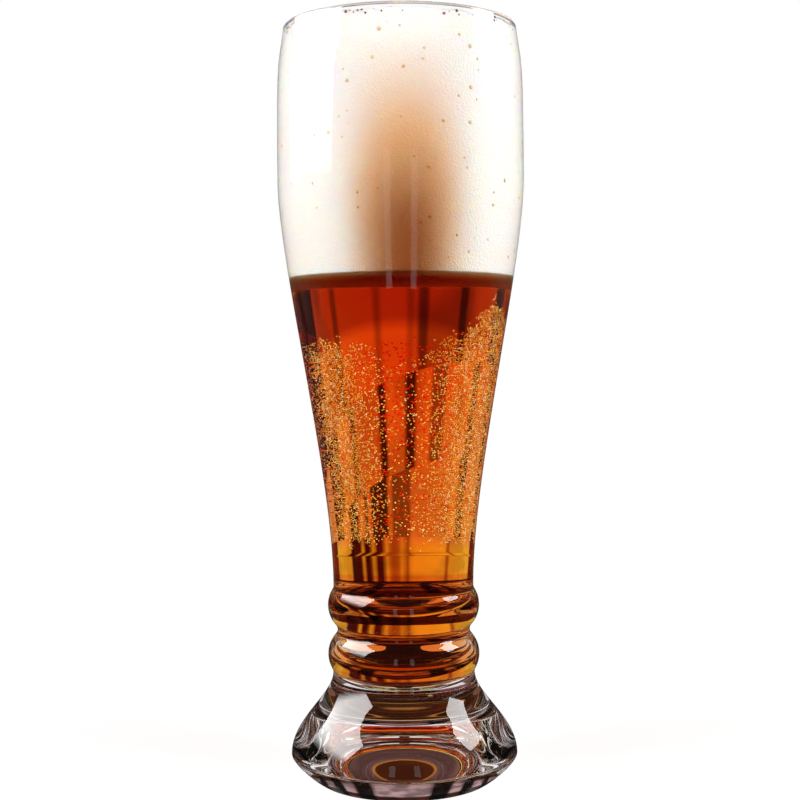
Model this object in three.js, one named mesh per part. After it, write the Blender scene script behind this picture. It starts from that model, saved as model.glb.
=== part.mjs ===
// A tall wheat-beer glass, full: the one-piece glass with its beaded stem and heavy foot,
// the beer in its bowl and in the bore of its stem, and the head of foam on the beer.
// Millimetres, +Z up. The origin is on the table, under the middle of the foot.
import * as THREE from 'three';

// Glass, outside: rim, bowl and waist
const GLASS_HEIGHT = 250;
const RIM_RADIUS = 38.5;
const BULGE_RADIUS = 40.8;
const BULGE_HEIGHT = 200;
const WAIST_RADIUS = 23.4;
// How far each end of a bowl curve runs straight before it bends
const WAIST_STRAIGHT = 37.5;
const SHOULDER_STRAIGHT = 28;
const CROWN_STRAIGHT = 42;
const RIM_STRAIGHT = 13.3;
const RIM_LEAN = 1.7;

// Glass, outside: the two beads of the stem
const BEAD_RADIUS = 25.3;
const BEAD_ROUND = 9.4;
const BEAD_PITCH = 16.4;
const LOWER_BEAD_HEIGHT = 42;
const GROOVE_ROUND = 2.8;

// Glass, outside: the foot
const NECK_RADIUS = 23.7;
const FOOT_RADIUS = 37.8;
const FOOT_EDGE_HEIGHT = 8.9;
const FOOT_EDGE_STRAIGHT = 10.5;
const NECK_STRAIGHT = 8.2;
const RESTING_RADIUS = 28;
const RESTING_ROUND = 1.8;
const HOLLOW_RADIUS = 19;
const HOLLOW_DEPTH = 3;

// Glass, inside
const RIM_WALL = 1.8;
const BULGE_WALL = 2;
const WAIST_WALL = 3.4;
// The hollow narrows a little above the waist and runs on down the stem to a floor
// under the lower bead, with a round at its edge
const WELL_RISE = 5;
const BORE_RADIUS = 19;
const BORE_STRAIGHT = 9;
const FLOOR_DROP = 11;
const FLOOR_ROUND = 10;

// What is in it
const BEER_LEVEL = 168;
const FOAM_EDGE_DROP = 2;
const FOAM_DIP = 5;
const FOAM_FLAT_RADIUS = 24;
const CONTENTS_CLEARANCE = 0.3;

// Facets
const SIDES = 40;
const BOWL_STEPS = 12;
const CROWN_STEPS = 6;
const ROUND_STEPS = 3;
const BEAD_STEPS = 6;
const FOOT_STEPS = 8;

// Points along an arc about a centre, in the plane of radius and height.
function arc(centre, radius, from, to, steps) {
  const turn = (to - from) / steps;
  return Array.from({ length: steps + 1 }, (_, i) =>
    new THREE.Vector2(
      centre.x + radius * Math.cos(from + turn * i),
      centre.y + radius * Math.sin(from + turn * i),
    ),
  );
}

// Points along a curve that leaves its start and reaches its end along two given arms.
function bend(start, startArm, end, endArm, steps) {
  const curve = new THREE.CubicBezierCurve(
    start,
    start.clone().add(startArm),
    end.clone().add(endArm),
    end,
  );
  return curve.getPoints(steps);
}

// Runs of points as one outline, with each shared joint point kept once.
function chain(...runs) {
  const outline = [];
  for (const point of runs.flat()) {
    const last = outline.at(-1);
    if (!last || last.distanceTo(point) > 1e-6) outline.push(point);
  }
  return outline;
}

// The direction from one point to another, as an angle from the outward radius.
function bearing(from, to) {
  return Math.atan2(to.y - from.y, to.x - from.x);
}

// A solid turned about the upright axis from an outline that runs up the outside.
function turned(outline) {
  return new THREE.LatheGeometry(outline, SIDES).rotateX(Math.PI / 2);
}

const point = (radius, height) => new THREE.Vector2(radius, height);
const upright = (length) => new THREE.Vector2(0, length);

// The stem's beads are two equal rounds. A groove round touches both,
// and a like round leads each bead into the straight waist or neck beside it.
const beadCentre = BEAD_RADIUS - BEAD_ROUND;
const lowerBead = point(beadCentre, LOWER_BEAD_HEIGHT);
const upperBead = point(beadCentre, LOWER_BEAD_HEIGHT + BEAD_PITCH);
const roundsApart = BEAD_ROUND + GROOVE_ROUND;
const groove = point(
  beadCentre + Math.sqrt(roundsApart ** 2 - (BEAD_PITCH / 2) ** 2),
  LOWER_BEAD_HEIGHT + BEAD_PITCH / 2,
);
function filletHeight(wallRadius) {
  return Math.sqrt(roundsApart ** 2 - (wallRadius + GROOVE_ROUND - beadCentre) ** 2);
}
const neckFillet = point(
  NECK_RADIUS + GROOVE_ROUND,
  lowerBead.y - filletHeight(NECK_RADIUS),
);
const waistFillet = point(
  WAIST_RADIUS + GROOVE_ROUND,
  upperBead.y + filletHeight(WAIST_RADIUS),
);

function stemOutline() {
  const full = 2 * Math.PI;
  return chain(
    arc(neckFillet, GROOVE_ROUND, Math.PI, bearing(neckFillet, lowerBead), ROUND_STEPS),
    arc(lowerBead, BEAD_ROUND, bearing(lowerBead, neckFillet), bearing(lowerBead, groove), BEAD_STEPS),
    arc(groove, GROOVE_ROUND, full + bearing(groove, lowerBead), bearing(groove, upperBead), ROUND_STEPS),
    arc(upperBead, BEAD_ROUND, bearing(upperBead, groove), bearing(upperBead, waistFillet), BEAD_STEPS),
    arc(waistFillet, GROOVE_ROUND, full + bearing(waistFillet, upperBead), Math.PI, ROUND_STEPS),
  );
}

// The foot stands on a flat ring round a shallow domed hollow, and its edge is bevelled
// below and sweeps up into the neck above.
function footOutline() {
  const domeRadius = (HOLLOW_RADIUS ** 2 + HOLLOW_DEPTH ** 2) / (2 * HOLLOW_DEPTH);
  const domeCentre = point(0, HOLLOW_DEPTH - domeRadius);
  const hollowEdge = point(HOLLOW_RADIUS, 0);
  const edge = point(FOOT_RADIUS, FOOT_EDGE_HEIGHT);
  const neck = point(NECK_RADIUS, neckFillet.y);
  return chain(
    arc(domeCentre, domeRadius, Math.PI / 2, bearing(domeCentre, hollowEdge), ROUND_STEPS),
    bend(
      point(RESTING_RADIUS, 0),
      point(RESTING_ROUND, 0),
      edge,
      upright(-RESTING_ROUND),
      ROUND_STEPS + 1,
    ),
    bend(edge, upright(FOOT_EDGE_STRAIGHT), neck, upright(-NECK_STRAIGHT), FOOT_STEPS),
  );
}

// The bowl's wall, outside: from the waist out to the bulge and in again to the rim.
const lipRound = RIM_WALL / 2;
const lipHeight = GLASS_HEIGHT - lipRound;
function bowlOutline() {
  const waist = point(WAIST_RADIUS, waistFillet.y);
  const bulge = point(BULGE_RADIUS, BULGE_HEIGHT);
  const rim = point(RIM_RADIUS, lipHeight);
  return chain(
    bend(waist, upright(WAIST_STRAIGHT), bulge, upright(-SHOULDER_STRAIGHT), BOWL_STEPS),
    bend(bulge, upright(CROWN_STRAIGHT), rim, point(RIM_LEAN, -RIM_STRAIGHT), CROWN_STEPS),
  );
}

// The hollow, drawn in by a gap: the glass uses it with none, and the contents with their
// clearance. It runs up from the middle of the bore's floor, through the stem, to the rim.
function hollowOutline(gap) {
  const floor = point(0, lowerBead.y - FLOOR_DROP + gap);
  const corner = point(BORE_RADIUS - FLOOR_ROUND, lowerBead.y - FLOOR_DROP + FLOOR_ROUND);
  const bore = point(BORE_RADIUS - gap, corner.y);
  const well = point(WAIST_RADIUS - WAIST_WALL - gap, waistFillet.y + WELL_RISE);
  const bulge = point(BULGE_RADIUS - BULGE_WALL - gap, BULGE_HEIGHT);
  const rim = point(RIM_RADIUS - RIM_WALL - gap, lipHeight);
  return chain(
    [floor],
    arc(corner, FLOOR_ROUND - gap, -Math.PI / 2, 0, ROUND_STEPS),
    bend(bore, upright(BORE_STRAIGHT), well, upright(-BORE_STRAIGHT), BEAD_STEPS),
    bend(well, upright(WAIST_STRAIGHT), bulge, upright(-SHOULDER_STRAIGHT), BOWL_STEPS),
    bend(bulge, upright(CROWN_STRAIGHT), rim, point(RIM_LEAN, -RIM_STRAIGHT), CROWN_STEPS),
  );
}

// The part of an upward outline that lies between two heights, cut square at both.
function between(outline, low, high) {
  const cut = [];
  outline.forEach((here, i) => {
    const last = outline[i - 1];
    for (const level of [low, high]) {
      if (last && last.y < level && level < here.y) {
        cut.push(last.clone().lerp(here, (level - last.y) / (here.y - last.y)));
      }
    }
    if (here.y >= low && here.y <= high) cut.push(here);
  });
  return cut;
}

function glass() {
  const lip = point(RIM_RADIUS - lipRound, lipHeight);
  return turned(
    chain(
      footOutline(),
      stemOutline(),
      bowlOutline(),
      arc(lip, lipRound, 0, Math.PI, ROUND_STEPS + 1),
      hollowOutline(0).reverse(),
    ),
  );
}

function beer() {
  const side = between(hollowOutline(CONTENTS_CLEARANCE), 0, BEER_LEVEL);
  return turned(chain(side, [point(0, BEER_LEVEL)]));
}

// The foam clings to the wall just under the rim and has sunk a little in the middle.
function foamHead() {
  const base = BEER_LEVEL + CONTENTS_CLEARANCE;
  const top = GLASS_HEIGHT - FOAM_EDGE_DROP;
  const side = between(hollowOutline(CONTENTS_CLEARANCE), base, top);
  const edge = side.at(-1);
  const middle = point(FOAM_FLAT_RADIUS, top - FOAM_DIP);
  const slope = (edge.x - middle.x) / 2;
  return turned(
    chain(
      [point(0, base)],
      side,
      bend(edge, point(-slope, -FOAM_DIP / 2), middle, point(slope, 0), ROUND_STEPS),
      [point(0, middle.y)],
    ),
  );
}

function piece(name, geometry, looks) {
  const mesh = new THREE.Mesh(geometry, new THREE.MeshStandardMaterial({ metalness: 0, ...looks }));
  mesh.name = name;
  return mesh;
}

const wheatBeerGlass = new THREE.Group();
wheatBeerGlass.name = 'wheat_beer_glass';
wheatBeerGlass.add(
  piece('glass', glass(), { color: 0xe9efee, roughness: 0.03, transparent: true, opacity: 0.3 }),
  piece('beer', beer(), { color: 0xc45a08, roughness: 0.05, transparent: true, opacity: 0.85 }),
  piece('foam_head', foamHead(), { color: 0xf6ead8, roughness: 0.8 }),
);

export default wheatBeerGlass;
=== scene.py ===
# A tall wheat-beer glass, full: the glass, the beer with the bubbles on its wall, and the head
# of foam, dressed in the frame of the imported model. Metres, +Z up.
import math

import bpy
import numpy as np
from mathutils import Matrix, Vector, noise


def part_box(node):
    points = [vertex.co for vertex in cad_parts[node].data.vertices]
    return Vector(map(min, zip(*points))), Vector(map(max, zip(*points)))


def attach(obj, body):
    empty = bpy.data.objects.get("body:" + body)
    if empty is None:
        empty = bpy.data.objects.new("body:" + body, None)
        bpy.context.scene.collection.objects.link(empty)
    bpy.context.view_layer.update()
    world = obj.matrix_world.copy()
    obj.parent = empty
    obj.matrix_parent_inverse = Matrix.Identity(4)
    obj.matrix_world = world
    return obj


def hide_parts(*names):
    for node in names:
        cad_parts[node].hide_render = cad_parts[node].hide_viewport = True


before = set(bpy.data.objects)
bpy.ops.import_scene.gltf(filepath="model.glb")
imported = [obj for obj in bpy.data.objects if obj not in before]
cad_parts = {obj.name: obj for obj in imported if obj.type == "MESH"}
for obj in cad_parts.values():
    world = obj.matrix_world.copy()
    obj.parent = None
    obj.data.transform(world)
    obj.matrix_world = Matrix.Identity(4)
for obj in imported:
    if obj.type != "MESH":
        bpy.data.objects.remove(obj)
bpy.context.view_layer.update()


# Camera
# It stands half a metre in front of the glass at a little over half its height, looks slightly
# down and leans a touch to one side.
CAMERA_PLACE = Vector((-0.0007, -0.4906, 0.1417))
CAMERA_TILT = math.radians(90 - 1.75)
CAMERA_LEAN = math.radians(-0.41)
SENSOR_MILLIMETRES = 36
FOCAL_MILLIMETRES = 66.15

lens = bpy.data.cameras.new("camera")
lens.sensor_width = SENSOR_MILLIMETRES
lens.lens = FOCAL_MILLIMETRES
camera = bpy.data.objects.new("camera", lens)
turned_down = Matrix.Rotation(CAMERA_TILT, 4, "X")
leaning = Matrix.Rotation(CAMERA_LEAN, 4, "Z")
camera.matrix_world = Matrix.Translation(CAMERA_PLACE) @ turned_down @ leaning
bpy.context.scene.collection.objects.link(camera)
bpy.context.scene.camera = camera


# Glass
# One piece of clear soda-lime glass, pressed and blown in a mould and fire-polished: a thin bowl
# that swells below the rim, a stem with two beads, hollow almost to its end, and a heavy foot.
GLASS_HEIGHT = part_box("glass")[1].z
BULGE_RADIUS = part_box("glass")[1].x
BULGE_HEIGHT = 0.200
RIM_RADIUS = 0.0385
WAIST_RADIUS = 0.0234
WAIST_STRAIGHT = 0.0375
SHOULDER_STRAIGHT = 0.028
CROWN_STRAIGHT = 0.042
RIM_STRAIGHT = 0.0133
RIM_LEAN = 0.0017
BEAD_RADIUS = 0.0253
BEAD_ROUND = 0.0094
BEAD_PITCH = 0.0164
LOWER_BEAD_HEIGHT = 0.042
GROOVE_ROUND = 0.0028
NECK_RADIUS = 0.0237
FOOT_RADIUS = 0.0378
FOOT_EDGE_HEIGHT = 0.0089
FOOT_EDGE_STRAIGHT = 0.0105
NECK_STRAIGHT = 0.0082
RESTING_RADIUS = 0.028
RESTING_ROUND = 0.0018
HOLLOW_RADIUS = 0.019
HOLLOW_DEPTH = 0.003
RIM_WALL = 0.0018
BULGE_WALL = 0.002
WAIST_WALL = 0.0034
WELL_RISE = 0.005
BORE_RADIUS = 0.019
BORE_STRAIGHT = 0.009
FLOOR_DROP = 0.011
FLOOR_ROUND = 0.010
SIDES = 180
LONG_STEPS = 48
SHORT_STEPS = 16
SAME_POINT = 1e-8
SKIN = 0.00005
GLASS_IOR = 1.52
RIPPLE_SCALE = 90.0
RIPPLE_STRENGTH = 0.02
RIPPLE_DEPTH = 0.0005
HAZE_SCALE = 45.0
HAZE_ROUGHNESS = 0.012
GLASS_TINT = (0.99, 0.99, 0.988, 1)
BRIGHT_MIRROR = (1, 1, 1, 1)
NO_MIRROR = (0, 0, 0, 1)


def point(radius, height):
    return np.array((radius, height))


def upright(length):
    return point(0, length)


def arc(centre, radius, start, end, steps=SHORT_STEPS):
    """Points along an arc, in the plane of radius and height."""
    angles = np.linspace(start, end, steps + 1)
    return centre + radius * np.column_stack((np.cos(angles), np.sin(angles)))


def bend(start, start_arm, end, end_arm, steps=LONG_STEPS):
    """Points along a curve that leaves its start and reaches its end along two given arms."""
    t = np.linspace(0, 1, steps + 1)[:, None]
    out, back = start + start_arm, end + end_arm
    return start * (1 - t) ** 3 + 3 * out * t * (1 - t) ** 2 + 3 * back * t**2 * (1 - t) + end * t**3


def chain(*runs):
    """Runs of points as one outline, with each shared joint point kept once."""
    points = np.vstack(runs)
    steps = np.linalg.norm(np.diff(points, axis=0), axis=1)
    return points[np.concatenate(([True], steps > SAME_POINT))]


def bearing(start, end):
    """The direction from one point to another, as an angle from the outward radius."""
    return math.atan2(end[1] - start[1], end[0] - start[0])


def stem_outline():
    full = 2 * math.pi
    return chain(
        arc(neck_fillet, GROOVE_ROUND, math.pi, bearing(neck_fillet, lower_bead)),
        arc(lower_bead, BEAD_ROUND, bearing(lower_bead, neck_fillet), bearing(lower_bead, groove)),
        arc(groove, GROOVE_ROUND, full + bearing(groove, lower_bead), bearing(groove, upper_bead)),
        arc(upper_bead, BEAD_ROUND, bearing(upper_bead, groove), bearing(upper_bead, waist_fillet)),
        arc(waist_fillet, GROOVE_ROUND, full + bearing(waist_fillet, upper_bead), math.pi),
    )


def foot_outline():
    dome_radius = (HOLLOW_RADIUS**2 + HOLLOW_DEPTH**2) / (2 * HOLLOW_DEPTH)
    dome = point(0, HOLLOW_DEPTH - dome_radius)
    edge = point(FOOT_RADIUS, FOOT_EDGE_HEIGHT)
    ring = point(RESTING_RADIUS, 0)
    neck = point(NECK_RADIUS, neck_fillet[1])
    return chain(
        arc(dome, dome_radius, math.pi / 2, bearing(dome, point(HOLLOW_RADIUS, 0))),
        bend(ring, point(RESTING_ROUND, 0), edge, upright(-RESTING_ROUND), SHORT_STEPS),
        bend(edge, upright(FOOT_EDGE_STRAIGHT), neck, upright(-NECK_STRAIGHT), LONG_STEPS),
    )


def wall_outline(waist, bulge, rim):
    """The bowl's wall from the waist out to the bulge and in again to the rim."""
    return chain(
        bend(waist, upright(WAIST_STRAIGHT), bulge, upright(-SHOULDER_STRAIGHT)),
        bend(bulge, upright(CROWN_STRAIGHT), rim, point(RIM_LEAN, -RIM_STRAIGHT)),
    )


def hollow_outline(gap):
    """The hollow of stem and bowl, drawn in by a gap, from the middle of its floor to the rim."""
    corner = point(BORE_RADIUS - FLOOR_ROUND, floor_height + FLOOR_ROUND)
    bore = point(BORE_RADIUS - gap, corner[1])
    well = point(WAIST_RADIUS - WAIST_WALL - gap, waist_fillet[1] + WELL_RISE)
    return chain(
        [point(0, floor_height + gap)],
        arc(corner, FLOOR_ROUND - gap, -math.pi / 2, 0),
        bend(bore, upright(BORE_STRAIGHT), well, upright(-BORE_STRAIGHT)),
        wall_outline(
            well,
            point(BULGE_RADIUS - BULGE_WALL - gap, BULGE_HEIGHT),
            point(RIM_RADIUS - RIM_WALL - gap, lip_height),
        ),
    )


def turned(name, outline):
    """An object turned about the upright axis, from an outline that starts and ends on the axis."""
    angles = np.linspace(0, 2 * math.pi, SIDES, endpoint=False)
    rings = outline[1:-1]
    ring_x = np.outer(rings[:, 0], np.cos(angles))
    ring_y = np.outer(rings[:, 0], np.sin(angles))
    ring_z = np.repeat(rings[:, 1], SIDES).reshape(-1, SIDES)
    walls = np.stack((ring_x, ring_y, ring_z), axis=-1).reshape(-1, 3)
    poles = [(0, 0, outline[0, 1]), (0, 0, outline[-1, 1])]
    bottom_pole, top_pole = len(walls), len(walls) + 1
    last_ring = (len(rings) - 1) * SIDES
    faces = []
    for side in range(SIDES):
        beside = (side + 1) % SIDES
        faces.append((bottom_pole, beside, side))
        faces.append((top_pole, last_ring + side, last_ring + beside))
        for start in range(0, last_ring, SIDES):
            above = start + SIDES
            faces.append((start + side, start + beside, above + beside, above + side))
    mesh = bpy.data.meshes.new(name)
    mesh.from_pydata(np.vstack((walls, poles)).tolist(), [], faces)
    mesh.shade_smooth()
    piece = bpy.data.objects.new(name, mesh)
    bpy.context.scene.collection.objects.link(piece)
    return piece


class Reading:
    """A node's output, used in sums: each sum adds a Math node."""

    def __init__(self, nodes, socket):
        self.nodes = nodes
        self.socket = socket

    def beside(self, name):
        """Another output of the same node."""
        return Reading(self.nodes, self.nodes.find(self.socket.node.outputs, name))

    def sum(self, operation, first, second):
        """Adds a Math node on two values."""
        return self.nodes.add("ShaderNodeMath", {"operation": operation}, {0: first, 1: second})

    def __add__(self, other):
        return self.sum("ADD", self, other)

    def __radd__(self, other):
        return self.sum("ADD", other, self)

    def __sub__(self, other):
        return self.sum("SUBTRACT", self, other)

    def __rsub__(self, other):
        return self.sum("SUBTRACT", other, self)

    def __mul__(self, other):
        return self.sum("MULTIPLY", self, other)

    def __rmul__(self, other):
        return self.sum("MULTIPLY", other, self)

    def __pow__(self, other):
        return self.sum("POWER", self, other)

    def __abs__(self):
        return self.sum("ABSOLUTE", self, 0)

    def __gt__(self, other):
        return self.sum("GREATER_THAN", self, other)


class Nodes:
    """The node tree of a material, of the world or of a shape that repeats."""

    def __init__(self, tree):
        self.tree = tree
        self.tree.nodes.clear()

    def add(self, kind, settings=None, sockets=None, output=0):
        """Adds a node, with its settings first and then its sockets, and gives one of its outputs."""
        node = self.tree.nodes.new(kind)
        for name, value in (settings or {}).items():
            if name == "stops":
                self.set_stops(node.color_ramp, value)
            else:
                setattr(node, name, value)
        for name, value in (sockets or {}).items():
            socket = self.find(node.inputs, name)
            if isinstance(value, Reading):
                self.tree.links.new(value.socket, socket)
            else:
                socket.default_value = value
        if not node.outputs:
            return None
        return Reading(self, self.find(node.outputs, output))

    @staticmethod
    def find(sockets, name):
        if isinstance(name, int):
            return sockets[name]
        return next(socket for socket in sockets if name in (socket.identifier, socket.name))

    @staticmethod
    def set_stops(ramp, stops):
        while len(ramp.elements) < len(stops):
            ramp.elements.new(1)
        for element, (place, colour) in zip(ramp.elements, stops):
            element.position = place
            element.color = colour


def new_finish(name):
    """A new material and its empty node tree."""
    material = bpy.data.materials.new(name)
    material.use_nodes = True
    return material, Nodes(material.node_tree)


def let_lamps_through(nodes, surface, tint):
    """The surface, but clear to the rays that ask whether a lamp is hidden."""
    clear = nodes.add("ShaderNodeBsdfTransparent", {}, {"Color": tint})
    shadow_ray = nodes.add("ShaderNodeLightPath", {}, {}, "Is Shadow Ray")
    return nodes.add("ShaderNodeMixShader", {}, {"Fac": shadow_ray, 1: surface, 2: clear})


def clear_glass(name, mirror):
    """Fire-polished glass with the faint ripple of the mould and a little haze from handling."""
    material, nodes = new_finish(name)
    place = nodes.add("ShaderNodeTexCoord", {}, {}, "Object")
    ripple = nodes.add("ShaderNodeTexNoise", {}, {"Vector": place, "Scale": RIPPLE_SCALE, "Detail": 2.0})
    haze = nodes.add("ShaderNodeTexNoise", {}, {"Vector": place, "Scale": HAZE_SCALE, "Detail": 6.0})
    bump = {"Height": ripple, "Strength": RIPPLE_STRENGTH, "Distance": RIPPLE_DEPTH}
    bumped = nodes.add("ShaderNodeBump", {}, bump)
    surface = nodes.add(
        "ShaderNodeBsdfPrincipled",
        {},
        {
            "Base Color": GLASS_TINT,
            "Roughness": haze * HAZE_ROUGHNESS,
            "IOR": GLASS_IOR,
            "Transmission Weight": 1.0,
            "Specular Tint": mirror,
            "Normal": bumped,
        },
    )
    dressed = let_lamps_through(nodes, surface, GLASS_TINT)
    nodes.add("ShaderNodeOutputMaterial", {}, {"Surface": dressed})
    return material


def wet_inside(piece, hollow, level):
    """Gives the second material to the faces of the hollow that lie below a height."""
    for face in piece.data.polygons:
        height = face.center.z
        reach = np.interp(max(height, floor_height + SKIN), hollow[:, 1], hollow[:, 0]) + SKIN
        if floor_height - SKIN < height < level and face.center.xy.length < reach:
            face.material_index = 1


bead_centre = BEAD_RADIUS - BEAD_ROUND
lower_bead = point(bead_centre, LOWER_BEAD_HEIGHT)
upper_bead = point(bead_centre, LOWER_BEAD_HEIGHT + BEAD_PITCH)
rounds_apart = BEAD_ROUND + GROOVE_ROUND
groove_reach = math.sqrt(rounds_apart**2 - (BEAD_PITCH / 2) ** 2)
groove = point(bead_centre + groove_reach, LOWER_BEAD_HEIGHT + BEAD_PITCH / 2)
neck_rise = math.sqrt(rounds_apart**2 - (NECK_RADIUS + GROOVE_ROUND - bead_centre) ** 2)
neck_fillet = point(NECK_RADIUS + GROOVE_ROUND, lower_bead[1] - neck_rise)
waist_rise = math.sqrt(rounds_apart**2 - (WAIST_RADIUS + GROOVE_ROUND - bead_centre) ** 2)
waist_fillet = point(WAIST_RADIUS + GROOVE_ROUND, upper_bead[1] + waist_rise)
lip_round = RIM_WALL / 2
lip_height = GLASS_HEIGHT - lip_round
floor_height = lower_bead[1] - FLOOR_DROP

glass = turned(
    "drinking_glass",
    chain(
        foot_outline(),
        stem_outline(),
        wall_outline(
            point(WAIST_RADIUS, waist_fillet[1]),
            point(BULGE_RADIUS, BULGE_HEIGHT),
            point(RIM_RADIUS, lip_height),
        ),
        arc(point(RIM_RADIUS - lip_round, lip_height), lip_round, 0, math.pi),
        hollow_outline(0)[::-1],
    ),
)
glass.data.materials.append(clear_glass("clear_glass", BRIGHT_MIRROR))
glass.data.materials.append(clear_glass("wetted_glass", NO_MIRROR))
wet_inside(glass, hollow_outline(0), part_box("foam_head")[1].z)
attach(glass, "root")
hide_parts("glass")


# Beer
# Filtered amber wheat beer that fills the hollow stem and the bowl up to the foam. It wets the glass,
# so its skin lies a hair inside the wall and light passes from one to the other with no air between.
BEER_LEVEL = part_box("beer")[1].z
WETTING = 0.00015
BEER_ABSORBS = (0.96, 0.56, 0.02, 1)
BEER_DENSITY = 110.0
BEER_IOR = 1.34
SWIRL_SCALE = 60.0
SWIRL_ROUGHNESS = 0.01
BEER_TINT = (1, 0.97, 0.9, 1)


def between(outline, low, high):
    """The part of an outline that rises from one height to another, cut square at both."""
    radii = np.interp((low, high), outline[:, 1], outline[:, 0])
    inside = outline[(outline[:, 1] > low) & (outline[:, 1] < high)]
    return chain([point(radii[0], low)], inside, [point(radii[1], high)])


def amber_beer():
    """Clear amber beer: it takes out blue, then green, the further light goes through it."""
    material, nodes = new_finish("amber_beer")
    place = nodes.add("ShaderNodeTexCoord", {}, {}, "Object")
    swirl = nodes.add("ShaderNodeTexNoise", {}, {"Vector": place, "Scale": SWIRL_SCALE, "Detail": 3.0})
    surface = nodes.add(
        "ShaderNodeBsdfPrincipled",
        {},
        {
            "Base Color": BEER_TINT,
            "Roughness": swirl * SWIRL_ROUGHNESS,
            "IOR": BEER_IOR,
            "Transmission Weight": 1.0,
            "Specular Tint": NO_MIRROR,
        },
    )
    body = nodes.add(
        "ShaderNodeVolumeAbsorption", {}, {"Color": BEER_ABSORBS, "Density": BEER_DENSITY}
    )
    dressed = let_lamps_through(nodes, surface, BEER_TINT)
    nodes.add("ShaderNodeOutputMaterial", {}, {"Surface": dressed, "Volume": body})
    return material


wetted = hollow_outline(-WETTING)
beer_side = between(wetted, wetted[0, 1], BEER_LEVEL)
beer = turned("beer_body", chain([wetted[0]], beer_side, [point(0, BEER_LEVEL)]))
beer.data.materials.append(amber_beer())
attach(beer, "root")
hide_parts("beer")


# Wall bubbles
# Gas that has come out of the beer and clings to the inside of the wall in a fine close crust. It
# begins above the waist and ends in a ragged edge that climbs and falls round the glass.
BUBBLE_SPACING = 0.0005
SMALLEST_BUBBLE = 0.0002
LARGEST_BUBBLE = 0.00034
BUBBLE_FLATNESS = 0.6
BUBBLE_SEED = 7
BUBBLE_SEAT = 0.0003
TRIES_PER_BUBBLE = 4
CRUST_BOTTOM = 0.081
CRUST_RAGGED = 0.0035
CRUST_EDGE = 0.0015
CRUST_CLUMP = 0.0024
CRUST_PATCHES = 0.7
# Fractal noise: how fast its detail fades, how much finer each layer is, and how many layers it has.
CRUST_FRACTAL = (0.6, 2.0, 4)
# Round the glass from the front, in degrees: how high the crust reaches and how close it is.
CRUST_BEARINGS = (-180, -140, -100, -72, -62, -40, -22, -5, 18, 42, 60, 76, 100, 140, 180)
CRUST_TOPS = (
    *(0.150, 0.143, 0.152, 0.145, 0.146, 0.147, 0.146, 0.139),
    *(0.146, 0.151, 0.160, 0.156, 0.144, 0.153, 0.150),
)
CRUST_CLOSENESS = (0.3, 0.3, 0.05, 0.3, 1.0, 1.0, 0.4, 0.1, 0.3, 1.0, 1.0, 1.0, 0.05, 0.3, 0.3)
CRUST_ROWS = 160
CRUST_COLUMNS = 240
# The bubbles' colours are painted light: the amber of the beer that shows through the clear bubbles, and
# their glints, mottled at random.
BUBBLE_CREAM = (1.0, 0.88, 0.55, 1)
BUBBLE_PALE = (1.0, 0.60, 0.09, 1)
BUBBLE_TAN = (0.88, 0.28, 0.01, 1)
BUBBLE_PAINTED_LIGHT_STOPS = [(0.38, BUBBLE_TAN), (0.56, BUBBLE_PALE), (0.68, BUBBLE_CREAM)]
BUBBLE_MOTTLE = 900.0
BUBBLE_ROUGHNESS = 0.25
MOTTLED_ROUGHNESS = 0.2
BUBBLE_IOR = 1.33
BUBBLE_SHEEN = 0.2


def bubble_tree():
    """Strews bubbles over a surface, closer where its "cling" attribute is higher."""
    tree = bpy.data.node_groups.new("strewn_bubbles", "GeometryNodeTree")
    inputs = {
        "Surface": "NodeSocketGeometry",
        "Spacing": "NodeSocketFloat",
        "Smallest": "NodeSocketFloat",
        "Largest": "NodeSocketFloat",
        "Flatness": "NodeSocketFloat",
        "Finish": "NodeSocketMaterial",
        "Seed": "NodeSocketInt",
    }
    for name, kind in inputs.items():
        tree.interface.new_socket(name, in_out="INPUT", socket_type=kind)
    tree.interface.new_socket("Bubbles", in_out="OUTPUT", socket_type="NodeSocketGeometry")
    nodes = Nodes(tree)
    surface = nodes.add("NodeGroupInput", {}, {}, "Surface")
    spacing = surface.beside("Spacing")
    seed = surface.beside("Seed")
    cling = nodes.add(
        "GeometryNodeInputNamedAttribute", {"data_type": "FLOAT"}, {"Name": "cling"}, "Attribute"
    )
    places = nodes.add(
        "GeometryNodeDistributePointsOnFaces",
        {"distribute_method": "POISSON"},
        {
            "Mesh": surface,
            "Distance Min": spacing,
            "Density Max": spacing**-2 * TRIES_PER_BUBBLE,
            "Density Factor": cling,
            "Seed": seed,
        },
        "Points",
    )
    size = nodes.add(
        "FunctionNodeRandomValue",
        {"data_type": "FLOAT"},
        {"Min_001": surface.beside("Smallest"), "Max_001": surface.beside("Largest"), "Seed": seed},
        "Value_001",
    )
    thickness = size * surface.beside("Flatness")
    scale = nodes.add("ShaderNodeCombineXYZ", {}, {"X": size, "Y": size, "Z": thickness})
    ball = nodes.add("GeometryNodeMeshIcoSphere", {}, {"Radius": 1.0, "Subdivisions": 1}, "Mesh")
    round_ball = nodes.add("GeometryNodeSetShadeSmooth", {}, {"Geometry": ball, "Shade Smooth": True})
    placed = nodes.add(
        "GeometryNodeInstanceOnPoints",
        {},
        {"Points": places, "Instance": round_ball, "Rotation": places.beside("Rotation"), "Scale": scale},
    )
    solid = nodes.add("GeometryNodeRealizeInstances", {}, {"Geometry": placed})
    finished = nodes.add(
        "GeometryNodeSetMaterial", {}, {"Geometry": solid, "Material": surface.beside("Finish")}
    )
    nodes.add("NodeGroupOutput", {}, {"Bubbles": finished})
    return tree


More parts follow.
